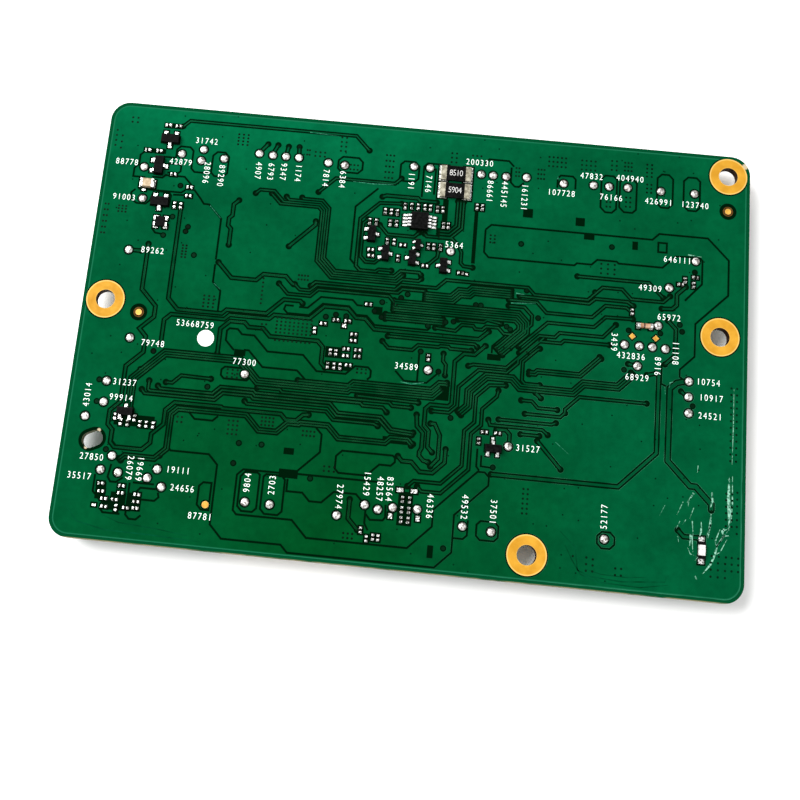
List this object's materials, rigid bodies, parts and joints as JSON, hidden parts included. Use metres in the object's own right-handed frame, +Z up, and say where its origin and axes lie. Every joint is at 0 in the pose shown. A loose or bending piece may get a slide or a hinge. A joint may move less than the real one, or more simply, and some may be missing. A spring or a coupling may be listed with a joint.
{
  "type": "main control board",
  "caption": "Rectangular printed circuit board, solder side up, with copper tracks under green mask, small soldered parts and plated screw holes, and chips and connectors underneath.",
  "frame": {"origin": "centre of the board's outline, on the plane that the connectors underneath stand on", "axes": "+X along the long edge, +Y along the short edge to the edge at the back of the picture, +Z up out of the solder side"},
  "size_m": [0.108, 0.0724, 0.0071],
  "materials": {
    "board": "satin",
    "masked_copper": "gloss",
    "gold_plate": "satin",
    "solder": "satin",
    "tinned_lead": "satin",
    "chip_ceramic": "matte",
    "black_mould": "matte",
    "lamp_resin": "gloss",
    "diode_glass": "gloss",
    "carrier": "satin",
    "ferrite": "matte",
    "can_metal": "satin",
    "housing": "matte"
  },
  "bodies": {
    "root": {"laminate_board": "board", "copper_pour": "masked_copper", "copper_traces": "masked_copper", "underside_copper": "masked_copper", "mounting_ring_left": "gold_plate", "mounting_ring_back": "gold_plate", "mounting_ring_right": "gold_plate", "mounting_ring_front": "gold_plate", "alignment_dots": "gold_plate", "bare_test_pads": "gold_plate", "test_point_solder": "solder", "solder_pads": "solder", "small_chip_bodies": "chip_ceramic", "small_chip_ends": "solder", "transistor_bodies": "black_mould", "transistor_leads": "tinned_lead", "gauge_chip_body": "black_mould", "gauge_chip_leads": "tinned_lead", "sense_resistor_back": "black_mould", "sense_resistor_front": "black_mould", "sense_resistor_caps": "solder", "filter_chip_body": "black_mould", "filter_chip_ends": "solder", "fuse_chip_body": "chip_ceramic", "fuse_chip_ends": "solder", "lamp_chip_body": "lamp_resin", "lamp_chip_ends": "solder", "capsule_core": "diode_glass", "capsule_ends": "solder", "processor_carrier": "carrier", "processor_mould": "black_mould", "processor_balls": "solder", "memory_chip_left": "black_mould", "memory_chip_right": "black_mould", "memory_balls": "solder", "power_coil_cores": "ferrite", "power_coil_ends": "tinned_lead", "power_controllers": "black_mould", "controller_pads": "tinned_lead", "capacitor_bases": "black_mould", "capacitor_cans": "can_metal", "capacitor_feet": "tinned_lead", "crystal_can": "can_metal", "crystal_feet": "gold_plate", "connector_left": "housing", "connector_right": "housing", "connector_front": "housing", "connector_back": "housing", "contacts_left": "gold_plate", "contacts_right": "gold_plate", "contacts_front": "gold_plate", "contacts_back": "gold_plate"}
  },
  "joints": []
}
